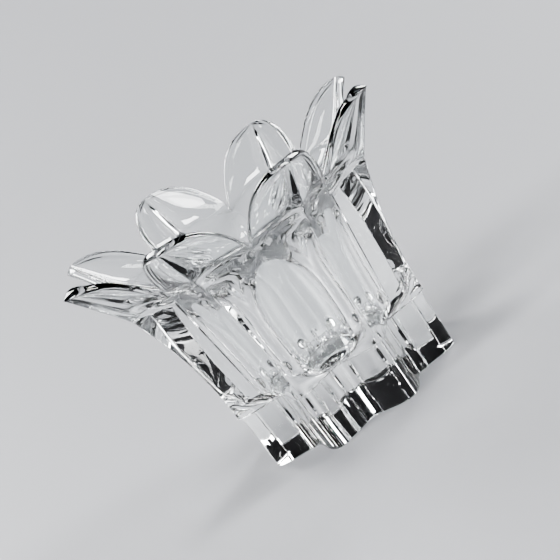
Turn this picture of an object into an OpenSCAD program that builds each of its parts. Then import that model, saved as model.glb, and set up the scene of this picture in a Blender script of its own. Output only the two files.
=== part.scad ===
// Lotus flower holder: one clear pressed-glass block with an eight-pointed foot,
// a tapering cup and a ring of flared petals. Millimetres, +Z up, standing on Z = 0.
// Every petal is drawn pointing along +Y and then turned to its place.

/* [Overall] */
// Distance across two opposite petal tips
tip_span = 125; // [105:1:150]
// Height of the petal tips above the table
overall_height = 89; // [82:1:110]
// Number of petals, and so of foot points
petal_count = 8; // [6:1:10]

/* [Foot] */
// Distance across two opposite points of the foot, at the table
foot_width = 76; // [66:1:80]
// Distance across two opposite points of the foot, where it meets the cup wall
foot_top_width = 77.4; // [67:0.2:80]
// Height of the solid foot
foot_height = 21; // [12:0.5:26]
// Depth of the grooves between the points, measured in from the points
groove_depth = 9.4; // [4:0.2:12]
// Small bevel round the bottom edge
foot_bevel = 0.6; // [0.2:0.1:1.5]
// Height of the flat ground land that the foot stands on, under the bevel
foot_land = 0.2; // [0.1:0.1:0.5]

/* [Cup wall, outside] */
// Distance across two opposite keels just above the foot
body_width = 79.8; // [72:0.2:88]
// Distance across two opposite keels at the shoulder line
shoulder_width = 97.8; // [88:0.2:110]
// Height of the shoulder line, where the petals begin
shoulder_height = 68.5; // [60:0.5:74]
// Distance across two opposite wall creases just above the foot
crease_low_width = 69.6; // [64:0.2:72]
// Distance across two opposite wall creases at the shoulder line
crease_high_width = 82.6; // [74:0.2:88]
// Height over which the wall draws in to the foot outline
overhang_height = 6.5; // [4:0.5:12]
// Width of the flat step left under the wall
overhang_step = 1.2; // [0.4:0.1:2]

/* [Cup, inside] */
// Thickness of glass between the foot and the cup
floor_thickness = 1.6; // [1:0.2:12]
// Cup width at its floor
cup_floor_width = 33; // [24:0.5:40]
// Cup width at its throat, just under the flare
cup_throat_width = 37; // [30:0.5:44]
// Cup width between the notches
cup_mouth_width = 62; // [54:0.5:66]
// How late and how sharply the cup flares to its mouth
cup_flare = 14; // [5:1:20]
// Radius of the corner round the cup floor
cup_corner = 2.5; // [1:0.5:6]
// Length of the petal hollows below the shoulder, fading into the round cup
hollow_length = 22.5; // [12:0.5:32]
// Depth of each petal hollow at the shoulder
hollow_depth = 9.5; // [4:0.5:11]

/* [Petals] */
// Height of the notches between petals above the shoulder line
notch_rise = 1.8; // [0.6:0.1:6]
// Glass thickness at the rim of a petal
rim_thickness = 3.2; // [2:0.1:4.5]
// Glass thickness at the middle of a petal, where it leaves the shoulder
root_thickness = 6.5; // [4.5:0.1:8]
// Depth of the shallow scoop under each half petal
scoop_depth = 0.8; // [0:0.1:1.5]
// How far the rim is rounded outward
rim_round = 1.1; // [0.2:0.1:1.5]

/* [Hidden] */
half = 180 / petal_count;
columns = 6;
floor_top = foot_height + floor_thickness;
// unit direction across the thickness of a tip: in toward the axis and up
lean = atan2(tip_span / 2 - shoulder_width / 2, overall_height - shoulder_height);
across = [-cos(lean), sin(lean)];
keel_top = overall_height - rim_thickness * across[1];
notch_height = shoulder_height + notch_rise;
hollow_start = shoulder_height - hollow_length;

ts = [for (i = [-columns : columns]) i / columns];
foot_steps = 8;
overhang_rows = [for (i = [0 : 8]) foot_height + overhang_height * i / 8];
wall_rows = [for (i = [1 : 8])
    mix(foot_height + overhang_height, shoulder_height, i / 8)];
corner_rows = [for (i = [0 : 4]) floor_top + cup_corner * (1 - cos(22.5 * i))];
cup_rows = [for (i = [1 : 11])
    mix(floor_top + cup_corner, shoulder_height, 1 - pow(1 - i / 11, 1.7))];
petal_rows = [for (i = [0 : 17]) pow(i / 17, 0.85) * 0.985];

function mix(a, b, t) = a + (b - a) * t;
function polar(r, a, z) = [r * sin(a), r * cos(a), z];
// one curve across a petal or a wall panel, from its centre line to both edges:
// power 1 is flat and meets in a ridge, power 2 is a round scoop
function across_panel(centre, edge, sag, power = 1) = [for (t = ts) let (u = abs(t))
    [t * edge[0], mix(centre[1], edge[1], pow(u, power)) + 4 * sag * u * (1 - u),
        mix(centre[2], edge[2], pow(u, power))]];

// outside keels and creases
function keel_r(z) = z < shoulder_height
    ? mix(body_width, shoulder_width,
        pow(max(0, z - foot_height) / (shoulder_height - foot_height), 2)) / 2
    : mix(shoulder_width, tip_span, (z - shoulder_height) / (keel_top - shoulder_height)) / 2;
function crease_r(z) = mix(crease_low_width, crease_high_width,
    (z - foot_height) / (shoulder_height - foot_height)) / 2;

// the foot outline: a crisp point, a curved flank and a crisp groove
function flank(u) = 0.75 * (1 + cos(180 * pow(u, 0.9))) / 2 + 0.25 * (1 - pow(u, 0.9));
function star_r(point_r, u) = point_r - groove_depth * (1 - flank(u));
function star(point_r) = [for (k = [0 : petal_count - 1], i = [0 : 2 * foot_steps - 1])
    let (a = k * 2 * half + i * half / foot_steps, u = 1 - abs(1 - i / foot_steps))
    star_r(point_r, u) * [sin(a), cos(a)]];

// the cup: a round taper, with a hollow spreading up into each petal
function cup_r(z) = let (u = (z - floor_top) / (notch_height - floor_top))
    mix(cup_floor_width, cup_throat_width, u) / 2
    + (cup_mouth_width - cup_throat_width) / 2 * pow(u, cup_flare);
function corner_r(z) = let (d = max(0, floor_top + cup_corner - z))
    cup_corner - sqrt(cup_corner * cup_corner - d * d);
function hollow_r(z) = cup_r(z) + hollow_depth
    * pow(max(0, z - hollow_start) / hollow_length, 3);
function cup_curve(z) = across_panel([0, hollow_r(z) - corner_r(z), z],
    polar(cup_r(z) - corner_r(z), half, z), 0, 2);

// the outside of the wall: flat panels that draw in to the foot outline below
function wall_curve(z) = let (
    g = pow(cos(90 * min(1, (z - foot_height) / overhang_height)), 2),
    panel = across_panel([0, keel_r(z), z], polar(crease_r(z), half, z), 0))
    [for (i = [0 : 2 * columns]) let (u = abs(ts[i]))
        mix(panel[i], polar(star_r(foot_top_width / 2, u) + overhang_step,
            ts[i] * half, z), g)];

// petal rims, as the outer and inner edge lines of the glass
function rim_angle(f) = half * pow(1 - pow(f, 1.5), 0.8);
function rim_outer(f) = let (z = mix(notch_height, keel_top, pow(sin(90 * f), 2)))
    polar(mix(crease_r(notch_height), tip_span / 2, pow(f, 1.45)), rim_angle(f), z);
function rim_inner(f) = let (
    o = rim_outer(f),
    web = crease_r(notch_height) - cup_mouth_width / 2,
    inward = mix(-rim_thickness * across[0], web, pow(1 - f, 6)),
    r = norm([o[0], o[1]]) - inward)
    polar(r, rim_angle(f), o[2] + rim_thickness * across[1] * pow(f, 0.6));
function keel_point(f) = let (z = rim_outer(f)[2]) [0, keel_r(z), z];
function hollow_point(f) = let (t = mix(rim_thickness, root_thickness, pow(1 - f, 1.5)))
    keel_point(f) + t * [0, across[0], across[1]];
// rounding of the rim, held inside the petal's own share of the circle
function rim_edge(f, side) = let (
    o = rim_outer(f), i = rim_inner(f), m = (o + i) / 2,
    gap = norm([m[0], m[1]]) * sin(half - rim_angle(f)),
    e = [cos(rim_angle(f)) * (1 - f * f), 0.6 * f * f, 0.5 * f],
    bulge = min(rim_round, 0.7 * gap) * e / norm(e))
    [for (p = [mix(o, i, 0.25) + 0.75 * bulge, mix(o, i, 0.75) + 0.75 * bulge])
        [side * p[0], p[1], p[2]]];

function reverse(v) = [for (i = [len(v) - 1 : -1 : 0]) v[i]];
function petal_ring(f) = concat(
    across_panel(keel_point(f), rim_outer(f), -scoop_depth * sin(180 * f)),
    rim_edge(f, 1),
    reverse(across_panel(hollow_point(f), rim_inner(f), 0, mix(1.4, 2, pow(1 - f, 4)))),
    reverse(rim_edge(f, -1)));
// the flat underside of a petal, with its two rim edges drawn as straight lines
function petal_base() = let (
    o = across_panel([0, keel_r(shoulder_height), shoulder_height],
        polar(crease_r(shoulder_height), half, shoulder_height), 0),
    i = cup_curve(shoulder_height), n = 2 * columns)
    concat(o, [mix(o[n], i[n], 0.25), mix(o[n], i[n], 0.75)],
        reverse(i), [mix(o[0], i[0], 0.75), mix(o[0], i[0], 0.25)]);

// closes a stack of equal rings; a ring is the outer curve, one edge of e points,
// the inner curve reversed, then the other edge of e points
module loft(rings, e) {
    n = len(rings[0]);
    m = 2 * columns + 1;
    last = (len(rings) - 1) * n;
    cap = concat(
        [for (q = [m - 1 : m + e]) [m - 2, q + 1, q]],
        [for (q = [n - e - 2 : n - 1]) [1, (q + 1) % n, q]],
        [for (i = [1 : m - 3]) let (a = n - e - 1 - i)
            each [[i, a - 1, i + 1], [i, a, a - 1]]]);
    side = [for (j = [0 : len(rings) - 2], i = [0 : n - 1]) let (
        a = j * n + i, b = j * n + (i + 1) % n) each [[a, b, b + n], [a, b + n, a + n]]];
    polyhedron([for (r = rings) each r], concat(
        side, cap, [for (t = cap) [last + t[0], last + t[2], last + t[1]]]));
}

module place(k) {
    rotate([0, 0, (k - 0.5) * 2 * half]) children();
}

// ---- foot: the solid star block ----
module foot() {
    land_r = foot_width / 2 - foot_bevel;
    levels = [[foot_land, land_r], [foot_land + foot_bevel, foot_width / 2],
        [foot_height, foot_top_width / 2]];
    n = 2 * foot_steps * petal_count;
    rings = [for (l = levels) each [for (p = star(l[1])) [p[0], p[1], l[0]]]];
    hubs = [[0, 0, foot_land], [0, 0, foot_height]];
    sides = [for (j = [0, 1], i = [0 : n - 1]) let (a = j * n + i, b = j * n + (i + 1) % n)
        each [[a, b, b + n], [a, b + n, a + n]]];
    color([0.74, 0.84, 0.88]) rotate([0, 0, half]) {
        linear_extrude(foot_land) polygon(star(land_r));
        polyhedron(concat(rings, hubs), concat(sides,
            [for (i = [0 : n - 1]) [3 * n, (i + 1) % n, i]],
            [for (i = [0 : n - 1]) [3 * n + 1, 2 * n + i, 2 * n + (i + 1) % n]]));
    }
}

// ---- cup floor: the round pad of glass under the cup ----
module cup_floor() {
    ring = [for (k = [0 : petal_count - 1]) each [for (i = [0 : 2 * columns - 1])
        let (p = cup_curve(floor_top)[i], a = -k * 2 * half)
        [p[0] * cos(a) - p[1] * sin(a), p[0] * sin(a) + p[1] * cos(a)]]];
    color([0.66, 0.80, 0.86])
        translate([0, 0, foot_height]) linear_extrude(floor_thickness)
            rotate([0, 0, half]) polygon(ring);
}

// ---- wall panels: one stave of the cup wall under each petal ----
module wall(k) {
    outer = concat(overhang_rows, wall_rows);
    inner = concat([foot_height], corner_rows, cup_rows);
    rings = [for (j = [0 : len(outer) - 1]) concat(
        wall_curve(outer[j]),
        reverse([for (p = cup_curve(max(floor_top, inner[j]))) [p[0], p[1], inner[j]]]))];
    color([0.80, 0.89, 0.92]) place(k) loft(rings, 0);
}

// ---- petals: the flared leaves above the shoulder ----
module petal(k) {
    color([0.90, 0.95, 0.97]) place(k)
        loft(concat([petal_base()], [for (f = petal_rows) petal_ring(f)]), 2);
}

foot();
cup_floor();
for (k = [1 : petal_count]) {
    wall(k);
    petal(k);
}
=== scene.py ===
# %% [markdown]
# # A pressed-glass lotus flower holder
# The object is one block of clear crystal glass: a star-shaped foot with eight points, a
# cup that tapers, and eight petals that flare out above a shoulder line. A gob of hot glass
# is dropped in an iron mould, a plunger presses the cup, and a flame then melts the skin a
# little, so every edge is slightly round. We load the measured CAD model first, because
# the glass we make here has to stand exactly where that model stands.

# %% Load the measured model
import math

import bmesh
import bpy
from mathutils import Matrix, Vector


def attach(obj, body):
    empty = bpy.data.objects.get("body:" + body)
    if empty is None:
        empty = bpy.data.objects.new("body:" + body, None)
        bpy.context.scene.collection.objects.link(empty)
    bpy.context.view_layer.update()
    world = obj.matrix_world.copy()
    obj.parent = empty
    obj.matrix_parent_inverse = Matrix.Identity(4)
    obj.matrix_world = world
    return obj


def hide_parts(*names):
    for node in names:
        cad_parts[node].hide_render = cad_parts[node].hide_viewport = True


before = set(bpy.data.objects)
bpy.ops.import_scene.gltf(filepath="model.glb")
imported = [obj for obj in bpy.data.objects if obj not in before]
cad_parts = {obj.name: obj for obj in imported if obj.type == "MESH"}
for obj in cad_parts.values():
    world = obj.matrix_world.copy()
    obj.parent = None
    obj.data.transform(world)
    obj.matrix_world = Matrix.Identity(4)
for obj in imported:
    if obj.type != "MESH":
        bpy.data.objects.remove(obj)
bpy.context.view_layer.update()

# %% [markdown]
# ## One clean skin for one piece of glass
# The CAD model splits the pressing into a foot, a cup floor, wall panels and petals. Those
# solids touch face to face, and light would glint on every one of those inner faces, as if
# the holder were glued together from bits. Real pressed glass has no inner faces. We could
# join the solids with booleans, but that keeps their coarse facets. So we model a single
# closed skin and let it stand for all the solids at once.
#
# The holder repeats eight times around its axis. We shape one eighth, from the middle
# of one groove to the middle of the next, and spin copies of it later. All sizes are in
# millimetres here and turn into metres at the end.

# %% Sizes of the holder, in millimetres
PETALS = 8
HALF = math.pi / PETALS  # half of one petal's share of the circle
TIP_R, TOP_Z = 62.44, 89.0  # a hair inside the measured tips, which have fewer facets
FOOT_R, FOOT_TOP_R, FOOT_Z = 38.0, 38.7, 21.0
GROOVE, FOOT_BEVEL = 9.4, 0.6
BODY_R, SHOULDER_R, SHOULDER_Z = 39.9, 48.9, 68.5
CREASE_LOW, CREASE_HIGH = 34.8, 41.3
OVERHANG_Z, OVERHANG_STEP = 6.5, 1.2
FLOOR_Z = FOOT_Z + 1.6
CUP_FLOOR_R, CUP_THROAT_R, CUP_MOUTH_R, CUP_CORNER = 16.5, 18.5, 31.0, 2.5
FLARE = 14  # how late and how fast the cup opens toward its mouth
HOLLOW_START, HOLLOW_DEPTH = 46.0, 9.5  # the scoops that spread up into the petals
NOTCH_Z, RIM, ROOT, SCOOP, RIM_ROUND = 70.3, 3.2, 6.5, 0.8, 1.1

LEAN = math.atan2(TIP_R - SHOULDER_R, TOP_Z - SHOULDER_Z)
ACROSS = Vector((0, -math.cos(LEAN), math.sin(LEAN)))  # from a tip's outer to its inner edge
KEEL_TOP = TOP_Z - RIM * ACROSS.z
print("petals lean out by", round(math.degrees(LEAN), 1), "degrees")

# %% [markdown]
# ## Round edges from a round number
# A fold in the glass is drawn with u = |t|, where t runs from -1 to 1 across one petal. That
# gives a knife edge at t = 0, and at t = 1 where two petals meet. Fire polishing rounds
# both, so we swap |t| for a curve that is flat for a short way at each end. The rounds are
# set in millimetres, and turned into a share of the panel's width. A Bevel modifier could
# round the edges too, but a formula lets each round fade out where a fold does.

# %% Helpers for blending and soft folds
def mix(a, b, t):
    return a + (b - a) * t


def polar(r, angle, z):
    return Vector((r * math.sin(angle), r * math.cos(angle), z))


# the fine line pressed into each crease, in mm
SEAM_DEPTH, SEAM_WIDTH = 0.18, 0.4
# the width of one panel and the rounds at its middle and at its edge, in mm
FOOT_FOLD, WALL_FOLD, CUP_FOLD = (15, 0.4, 0.4), (16, 0.4, 0.35), (10, 0.1, 0.8)
PETAL_RIDGE, HOLLOW_ROUND, RIM_BREAK = 0.9, 1.0, 0.01
NARROWEST = 2.0  # a petal is taken as at least this wide, so the rounds end at its tip


def soft_fold(t, width, ridge, valley):
    """|t| with a small round at 0 and at 1; ridge and valley are those rounds in mm."""
    # the two limits keep the rounds from meeting on a narrow panel
    u, a, b = abs(t), min(0.6, ridge / width), min(0.39, valley / width)
    if u < a:
        return a / 2 + u * u / (2 * a)
    if u > 1 - b:
        return 1 - b / 2 - (1 - u) ** 2 / (2 * b)
    return u


def soften(curve, t, width, ridge, valley, seam=0.0):
    """The point of curve at t, with the distance from the axis taken at the soft fold."""
    place, soft = curve(t), curve(math.copysign(soft_fold(t, width, ridge, valley), t))
    flat = math.hypot(place.x, place.y)
    r = math.hypot(soft.x, soft.y) - seam * math.exp(-(((1 - abs(t)) * width / SEAM_WIDTH) ** 2))
    return Vector((place.x / flat * r, place.y / flat * r, soft.z))


print("on a keel, the distance from the axis is read",
      round(soft_fold(0.0, *WALL_FOLD) * WALL_FOLD[0], 2), "mm to the side")

# %% [markdown]
# ## The shape in words a formula can use
# The outside has a keel down the middle of each panel, which flares out as it rises, and
# a straight crease between panels. The cup is round and nearly straight until it opens at
# its mouth, with a hollow that spreads up into every petal. Each function gives one curve
# across a single eighth, so a height or a share of the way up is all it needs.

# %% Foot, wall and cup as curves across one eighth
def keel_r(z):
    if z < SHOULDER_Z:
        return mix(BODY_R, SHOULDER_R, (max(0.0, z - FOOT_Z) / (SHOULDER_Z - FOOT_Z)) ** 2)
    return mix(SHOULDER_R, TIP_R, (z - SHOULDER_Z) / (KEEL_TOP - SHOULDER_Z))


def crease_r(z):
    return mix(CREASE_LOW, CREASE_HIGH, (z - FOOT_Z) / (SHOULDER_Z - FOOT_Z))


def star_r(point_r, u):
    """The foot's outline: a flank that is mostly a cosine curve, with some straight in it."""
    v = u**0.9
    flank = 0.75 * (1 + math.cos(math.pi * v)) / 2 + 0.25 * (1 - v)
    return point_r - GROOVE * (1 - flank)


def foot_point(t, r, z):
    return soften(lambda s: polar(star_r(r, abs(s)), s * HALF, z), t, *FOOT_FOLD,
                  SEAM_DEPTH / 2)


def panel(t, centre_r, edge_r, z, power=1):
    """A point between the panel's centre line and its edge: power 1 is flat, 2 is scooped."""
    edge = polar(edge_r, HALF, z)
    return Vector((t * edge.x, mix(centre_r, edge.y, abs(t) ** power), z))


def wall_point(t, z):
    drawn_in = math.cos(math.pi / 2 * min(1.0, (z - FOOT_Z) / OVERHANG_Z)) ** 2

    def curve(s):
        foot = polar(star_r(FOOT_TOP_R, abs(s)) + OVERHANG_STEP, s * HALF, z)
        return panel(s, keel_r(z), crease_r(z), z).lerp(foot, drawn_in)

    return soften(curve, t, *WALL_FOLD, SEAM_DEPTH)


def cup_point(t, z):
    u = (z - FLOOR_Z) / (NOTCH_Z - FLOOR_Z)
    d = max(0.0, FLOOR_Z + CUP_CORNER - z)
    corner = CUP_CORNER - math.sqrt(CUP_CORNER**2 - d * d)
    edge = mix(CUP_FLOOR_R, CUP_THROAT_R, u) + (CUP_MOUTH_R - CUP_THROAT_R) * u**FLARE - corner
    rise = max(0.0, z - HOLLOW_START) / (SHOULDER_Z - HOLLOW_START)
    centre = edge + HOLLOW_DEPTH * rise**3
    return soften(lambda s: panel(s, centre, edge, z, 2), t, *CUP_FOLD)


print("keel, mm from the axis:", keel_r(FOOT_Z), "at the foot,", keel_r(SHOULDER_Z), "at the top")


# %% [markdown]
# ## Petals
# A petal's rim runs from the notch, low between two petals, out and up to the tip. The
# glass there has an outer edge line and an inner one, about 3 mm apart, and is thicker
# where the petal leaves the shoulder. f is the share of the way from notch to tip, and u
# is the share of the way from the petal's middle to its rim. Sculpting would give one fine
# petal, but formulas keep all the edges in step, so eight copies meet without a gap.

# %% Petals as surfaces
# the powers in these formulas set how full each curve is, and were chosen one by one
def rim_end(t):
    """How far up the rim, from notch to tip, column t reaches."""
    return 1 - abs(t) ** 1.4


def rim_angle(f):
    return HALF * max(0.0, 1 - f**1.5) ** 0.8


def rim_outer(f):
    z = mix(NOTCH_Z, KEEL_TOP, math.sin(math.pi / 2 * f) ** 2)
    return polar(mix(crease_r(NOTCH_Z), TIP_R, f**1.45), rim_angle(f), z)


def rim_inner(f):
    o = rim_outer(f)
    web = crease_r(NOTCH_Z) - CUP_MOUTH_R
    r = math.hypot(o.x, o.y) - mix(-RIM * ACROSS.y, web, (1 - f) ** 6)
    return polar(r, rim_angle(f), o.z + RIM * ACROSS.z * f**0.6)


def keel_point(f):
    z = rim_outer(f).z
    return Vector((0, keel_r(z), z))


def hollow_point(f):
    return keel_point(f) + mix(RIM, ROOT, (1 - f) ** 1.5) * ACROSS


def petal_outer(f, u, side):
    sag = -SCOOP * math.sin(math.pi * f)

    def curve(s):
        p = keel_point(f).lerp(rim_outer(f), abs(s))
        return Vector((math.copysign(p.x, s), p.y + 4 * sag * abs(s) * (1 - abs(s)), p.z))

    return soften(curve, u * side, max(NARROWEST, rim_outer(f).x), PETAL_RIDGE, RIM_BREAK)


def petal_inner(f, u, side):
    def curve(s):
        p = hollow_point(f).lerp(rim_inner(f), abs(s) ** mix(1.4, 2, (1 - f) ** 4))
        return Vector((s * rim_inner(f).x, p.y, p.z))

    return soften(curve, u * side, max(NARROWEST, rim_inner(f).x), HOLLOW_ROUND, RIM_BREAK)


def rim_round(f, side, turn):
    """The rolled edge from the outer line, turn 0, over to the inner line, turn 1."""
    o, i = rim_outer(f), rim_inner(f)
    m = (o + i) / 2
    a = rim_angle(f)
    gap = math.hypot(m.x, m.y) * math.sin(HALF - a)  # what is left before the next petal
    out = Vector((math.cos(a) * (1 - f * f), 0.6 * f * f, 0.5 * f + 1e-6)).normalized()
    low = Vector((0, 0, 1.0)) * (1 - f) ** 4  # keeps the edge full in the notch
    bulge = out * min(RIM_ROUND, 0.7 * gap) * (1 - 0.85 * f**6) + low
    p = m + (o - m) * math.cos(math.pi * turn) + bulge * math.sin(math.pi * turn)
    return Vector((side * p.x, p.y, p.z))


print("notch at", round(rim_outer(0).z, 1), "mm and tip at", round(rim_inner(1).z, 1), "mm")

# %% [markdown]
# ## Rows and columns
# Think of one eighth of the skin as a cloth with a square weave. The rows run along a
# profile: from the middle of the base, out and up the foot, up the wall, over the rim, down
# the inside and in to the middle of the cup floor. The columns run across. Where the real
# edge is crisp we place rows and columns close together, so that the round is real
# geometry and catches a line of light.

# %% The list of rows
def spaced(start, end, count):
    """Evenly spaced values after start, up to and including end."""
    return [mix(start, end, k / count) for k in range(1, count + 1)]


PETAL_ROWS, RIM_ROWS = 30, 10
rows = [("base", s) for s in (0, 0.3, 0.6, 0.85, 0.95, 0.99)]
rows += [("bevel", s) for s in (0, 0.25, 0.5, 0.75, 1)]
rows += [("foot", z) for z in spaced(FOOT_BEVEL, FOOT_Z - 0.5, 6)]
rows += [("foot", FOOT_Z - 0.15), ("foot", FOOT_Z)]
rows += [("wall", z) for z in spaced(FOOT_Z, FOOT_Z + OVERHANG_Z, 14)]
rows += [("wall", z) for z in spaced(FOOT_Z + OVERHANG_Z, SHOULDER_Z, 16)]
rows += [("shoulder", s) for s in (0.33, 0.67)]
rows += [("petal_out", s) for s in (0, *spaced(0.0, 1.0, PETAL_ROWS))]
rows += [("rim", s) for s in spaced(0.0, 1.0, RIM_ROWS)]
rows += [("petal_in", s) for s in reversed((0, *spaced(0.0, 1.0, PETAL_ROWS)[:-1]))]
rows += [("mouth", s) for s in (0.67, 0.33)]
rows += [("cup", z) for z in reversed(spaced(FLOOR_Z + CUP_CORNER, SHOULDER_Z, 26))]
rows += [("cup", FLOOR_Z + CUP_CORNER * (1 - math.sin(math.pi / 2 * s)))
         for s in (0, 0.2, 0.4, 0.6, 0.8, 1)]
rows += [("cup_floor", s) for s in (0.9, 0.7, 0.4, 0)]

near_edge = [0.0, 0.012, 0.025, 0.04, 0.06, 0.09, 0.13, 0.18, 0.25, 0.33, 0.42]
half_columns = near_edge + [0.5] + [1 - c for c in reversed(near_edge)]
columns = [-c for c in reversed(half_columns[1:])] + half_columns
print(len(rows), "rows and", len(columns), "columns")


# %% [markdown]
# ## From a flat grid to one eighth of the holder
# A point of the grid knows its row and column. In a petal the columns have to fan out to
# the rim: the middle one ends at the tip and the outer ones end near the notch. We walk
# each column in a straight line from the shoulder to its own place on the rim.

# %% Where each row and column goes
def petal_step(t, s, rim_line):
    """Share f up the petal and share u across it, for column t at step s."""
    end = rim_end(t)
    f = end * s
    x = mix(abs(t) * rim_line(0).x, rim_line(end).x, s)
    return f, min(1.0, x / max(1e-6, rim_line(f).x)) if f < 1 else 0.0


def skin_point(t, row):
    kind, s = row
    side = math.copysign(1, t)
    if kind == "base":
        p = foot_point(t, FOOT_R - FOOT_BEVEL, 0)
        return Vector((p.x * s, p.y * s, 0))
    if kind == "bevel":
        a = s * math.pi / 2
        inset = FOOT_BEVEL * (1 - math.sin(a))
        return foot_point(t, FOOT_R - inset, FOOT_BEVEL * (1 - math.cos(a)))
    if kind == "foot":
        return foot_point(t, mix(FOOT_R, FOOT_TOP_R, s / FOOT_Z), s)
    if kind == "wall":
        return wall_point(t, s)
    if kind == "shoulder":
        return wall_point(t, SHOULDER_Z).lerp(petal_outer(0, abs(t), side), s)
    if kind == "petal_out":
        return petal_outer(*petal_step(t, s, rim_outer), side)
    if kind == "rim":
        return rim_round(rim_end(t), side, s)
    if kind == "petal_in":
        return petal_inner(*petal_step(t, s, rim_inner), side)
    if kind == "mouth":
        return cup_point(t, SHOULDER_Z).lerp(petal_inner(0, abs(t), side), s)
    if kind == "cup":
        return cup_point(t, s)
    p = cup_point(t, FLOOR_Z)
    return Vector((p.x * s, p.y * s, FLOOR_Z))


skin = bmesh.new()
bmesh.ops.create_grid(skin, x_segments=len(columns) - 1, y_segments=len(rows) - 1, size=1)
for v in skin.verts:
    column = round((v.co.x + 1) / 2 * (len(columns) - 1))
    row = round((v.co.y + 1) / 2 * (len(rows) - 1))
    v.co = skin_point(columns[column], rows[row]) / 1000
print("one eighth has", len(skin.faces), "faces")

# %% [markdown]
# ## Spin, close and polish
# The spin operator copies the eighth seven times about the axis. Doubles along the
# grooves and at the two poles are merged, which closes the skin, and the normals are worked
# out again so that all of them point out of the glass.

# %% Spin the eighth into the whole holder
bmesh.ops.rotate(skin, verts=skin.verts, cent=(0, 0, 0), matrix=Matrix.Rotation(HALF, 3, "Z"))
bmesh.ops.spin(
    skin, geom=skin.verts[:] + skin.edges[:] + skin.faces[:], cent=(0, 0, 0), axis=(0, 0, 1),
    dvec=(0, 0, 0), angle=HALF * 2 * (PETALS - 1), steps=PETALS - 1, use_merge=False,
    use_normal_flip=False, use_duplicate=True)
bmesh.ops.remove_doubles(skin, verts=skin.verts, dist=2e-6)
bmesh.ops.dissolve_degenerate(skin, dist=1e-7, edges=skin.edges)
bmesh.ops.recalc_face_normals(skin, faces=skin.faces)
for face in skin.faces:
    face.smooth = True
open_edges = [e for e in skin.edges if len(e.link_faces) != 2]
print("whole skin:", len(skin.faces), "faces,", len(open_edges), "open edges,",
      round(skin.calc_volume() * 1e6, 1), "ml of glass")

# %% [markdown]
# ## Fire-polished crystal
# Crystal is glass with a high refractive index, about 1.55, so it bends light hard and
# turns steep views into mirrors. The surface was pressed and then flame-polished: fully
# glossy, with a slow ripple a centimetre or so long that makes highlights wander a
# little. A Bump node adds that ripple, because it is far too shallow to be worth
# geometry. The folds and rounds above are real geometry, since they shape the outline.

# %% The glass material
def linear(hex_colour):
    """An sRGB hex colour as the linear RGBA that the shader needs."""
    parts = [int(hex_colour[k:k + 2], 16) / 255 for k in (1, 3, 5)]
    return (*[c / 12.92 if c <= 0.04045 else ((c + 0.055) / 1.055) ** 2.4 for c in parts], 1)


def add_node(tree, kind, settings=None, **links):
    """A node with its settings, its input values and its links."""
    node = tree.nodes.new(kind)
    for name, value in (settings or {}).items():
        setattr(node, name, value)
    for name, value in links.items():
        socket = node.inputs[name.replace("_", " ")]
        if isinstance(value, bpy.types.NodeSocket):
            tree.links.new(value, socket)
        else:
            socket.default_value = value
    return node


crystal = bpy.data.materials.new("fire_polished_crystal_glass")
crystal.use_nodes = True
tree = crystal.node_tree
tree.nodes.clear()
coords = add_node(tree, "ShaderNodeTexCoord")
RIPPLE = 0.014  # metres from one swell of the polished skin to the next
ripple = add_node(tree, "ShaderNodeTexNoise", Vector=coords.outputs["Object"],
                  Scale=1 / RIPPLE, Detail=1.0, Roughness=0.4)
wander = add_node(tree, "ShaderNodeBump", Strength=0.1, Distance=0.0004,
                  Height=ripple.outputs["Fac"])
glass = add_node(tree, "ShaderNodeBsdfPrincipled", Base_Color=linear("#fbfdfd"),
                 Roughness=0.0, IOR=1.55, Transmission_Weight=1.0,
                 Normal=wander.outputs["Normal"])
add_node(tree, "ShaderNodeOutputMaterial", Surface=glass.outputs["BSDF"])
print(crystal.name, "has", len(tree.nodes), "nodes")

# %% Put the glass in the scene in place of the CAD solids
mesh = bpy.data.meshes.new("lotus_holder")
skin.to_mesh(mesh)
skin.free()
mesh.materials.append(crystal)
holder = bpy.data.objects.new("lotus_holder", mesh)
bpy.context.scene.collection.objects.link(holder)
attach(holder, "root")
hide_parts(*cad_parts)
print(holder.name, "stands for", len(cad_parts), "CAD solids")

# %% [markdown]
# ## Floor and light
# Glass has no colour of its own, so it shows what is around it. It stands on a pale
# floor that curves up like a shallow bowl. The room above is dark and six soft boxes hang
# in it, which gives bright and dark bands side by side in the facets: that contrast is
# what makes crystal sparkle. The bowl ends inside the ring of boxes, so it is lit evenly.
# Its paper is a middle grey that the strong light brings up to pale, because on a whiter
# paper the petals fade into the floor.

# %% The floor, a sheet that curves up far behind the glass on every side
FLAT_R, BEND_R, BEND_TURN = 1.1, 1.2, math.radians(42)  # metres, and how far it curves up
FLOOR_DROP = 0.0002  # a fifth of a millimetre under the glass, so the two never share a face
sheet = bmesh.new()
middle = sheet.verts.new((0, 0, -FLOOR_DROP))
edge = sheet.verts.new((FLAT_R, 0, -FLOOR_DROP))
sheet.edges.new((middle, edge))
bmesh.ops.spin(sheet, geom=[edge], cent=(FLAT_R, 0, BEND_R), axis=(0, -1, 0),
               dvec=(0, 0, 0), angle=BEND_TURN, steps=12, use_duplicate=False)
bmesh.ops.spin(sheet, geom=sheet.verts[:] + sheet.edges[:], cent=(0, 0, 0), axis=(0, 0, 1),
               dvec=(0, 0, 0), angle=math.tau, steps=64, use_merge=True)
bmesh.ops.remove_doubles(sheet, verts=sheet.verts, dist=1e-5)
bmesh.ops.recalc_face_normals(sheet, faces=sheet.faces)
for face in sheet.faces:
    face.smooth = True
floor_mesh = bpy.data.meshes.new("floor")
sheet.to_mesh(floor_mesh)
sheet.free()
floor = bpy.data.objects.new("floor", floor_mesh)
bpy.context.scene.collection.objects.link(floor)
matt = bpy.data.materials.new("pale_matt_paper")
matt.use_nodes = True
tree = matt.node_tree
tree.nodes.clear()
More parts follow.
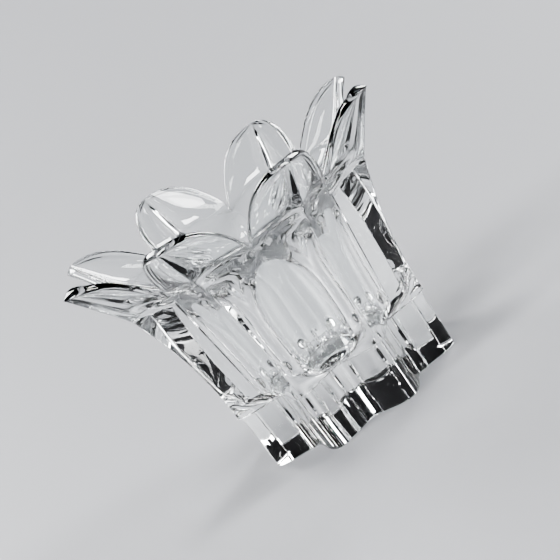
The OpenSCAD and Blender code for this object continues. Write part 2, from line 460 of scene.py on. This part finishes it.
paper = add_node(tree, "ShaderNodeBsdfPrincipled", Base_Color=linear("#8e8f92"), Roughness=0.6)
add_node(tree, "ShaderNodeOutputMaterial", Surface=paper.outputs["BSDF"])
floor_mesh.materials.append(matt)
print("floor rises to", round(BEND_R * (1 - math.cos(BEND_TURN)), 2), "m at its rim")

# %% The dark room
room = bpy.data.worlds.new("studio")
bpy.context.scene.world = room
room.use_nodes = True
tree = room.node_tree
tree.nodes.clear()
where = add_node(tree, "ShaderNodeTexCoord")
split = add_node(tree, "ShaderNodeSeparateXYZ", Vector=where.outputs["Generated"])
ramp = add_node(tree, "ShaderNodeValToRGB", Fac=split.outputs["Z"])
ramp.color_ramp.elements[0].position = 0.1
ramp.color_ramp.elements[0].color = (0.005, 0.005, 0.005, 1)
ramp.color_ramp.elements[1].position = 0.5
ramp.color_ramp.elements[1].color = (0.01, 0.01, 0.012, 1)
dark = add_node(tree, "ShaderNodeBackground", Color=ramp.outputs["Color"], Strength=1.0)
add_node(tree, "ShaderNodeOutputWorld", Surface=dark.outputs["Background"])
print("room light goes from", ramp.color_ramp.elements[0].color[0], "up to",
      round(ramp.color_ramp.elements[1].color[0], 3))

# %% The soft boxes
FAR = 2.8  # metres from the glass, so that no camera position has a box in its way
AIM = Vector((0, 0, 0.05))


def soft_box(name, spot, width, height, power):
    data = bpy.data.lights.new(name, "AREA")
    data.shape, data.size, data.size_y = "RECTANGLE", width, height
    data.energy = power
    lamp = bpy.data.objects.new(name, data)
    bpy.context.scene.collection.objects.link(lamp)
    lamp.location = spot
    lamp.rotation_euler = (AIM - spot).to_track_quat("-Z", "Y").to_euler()


# turn and rise in degrees, width and height as shares of FAR, power in watts at one metre
for name, turn, rise, width, height, power in (
        ("right_box", 80, 24, 0.25, 0.6, 9), ("left_box", -75, 28, 0.22, 0.6, 7),
        ("back_left_box", -150, 35, 0.3, 0.4, 6), ("back_right_box", 140, 30, 0.25, 0.5, 7),
        ("front_box", -25, 55, 0.35, 0.35, 6), ("top_box", 0, 88, 0.25, 0.25, 5)):
    a, e = math.radians(turn), math.radians(rise)
    spot = Vector((math.sin(a) * math.cos(e), -math.cos(a) * math.cos(e), math.sin(e)))
    soft_box(name, spot * FAR, width * FAR, height * FAR, power * FAR * FAR)
print("soft boxes:", len(bpy.data.lights))

# %% [markdown]
# ## Camera
# A long lens, about 100 mm, half a metre away and a little above the rim, keeps the petals
# from looking stretched. The camera is rolled by 36 degrees, so that the standing holder
# leans in the frame. A view with more contrast keeps the dark edges of clear glass dark.

# %% The camera
LENS, DISTANCE = 101.96, 0.5234
ELEVATION, TURN, ROLL = math.radians(12.524), math.radians(1.167), math.radians(35.716)
target = Vector((0.00036, 0, 0.04786))
turned = Matrix.Rotation(TURN, 3, "Z")
back = turned @ Vector((0, -math.cos(ELEVATION), math.sin(ELEVATION)))
right = turned @ Vector((1, 0, 0))
up = back.cross(right)
eye = turned @ target + back * DISTANCE
right_rolled = right * math.cos(ROLL) - up * math.sin(ROLL)
up_rolled = right * math.sin(ROLL) + up * math.cos(ROLL)
lens = bpy.data.cameras.new("camera")
lens.lens, lens.sensor_width = LENS, 36  # millimetres
lens.clip_start, lens.clip_end = 0.01, 50
camera = bpy.data.objects.new("camera", lens)
bpy.context.scene.collection.objects.link(camera)
camera.matrix_world = Matrix((
    (right_rolled.x, up_rolled.x, back.x, eye.x),
    (right_rolled.y, up_rolled.y, back.y, eye.y),
    (right_rolled.z, up_rolled.z, back.z, eye.z),
    (0, 0, 0, 1)))
bpy.context.scene.camera = camera
bpy.context.scene.view_settings.look = "AgX - High Contrast"
print("camera at", [round(c, 3) for c in eye])
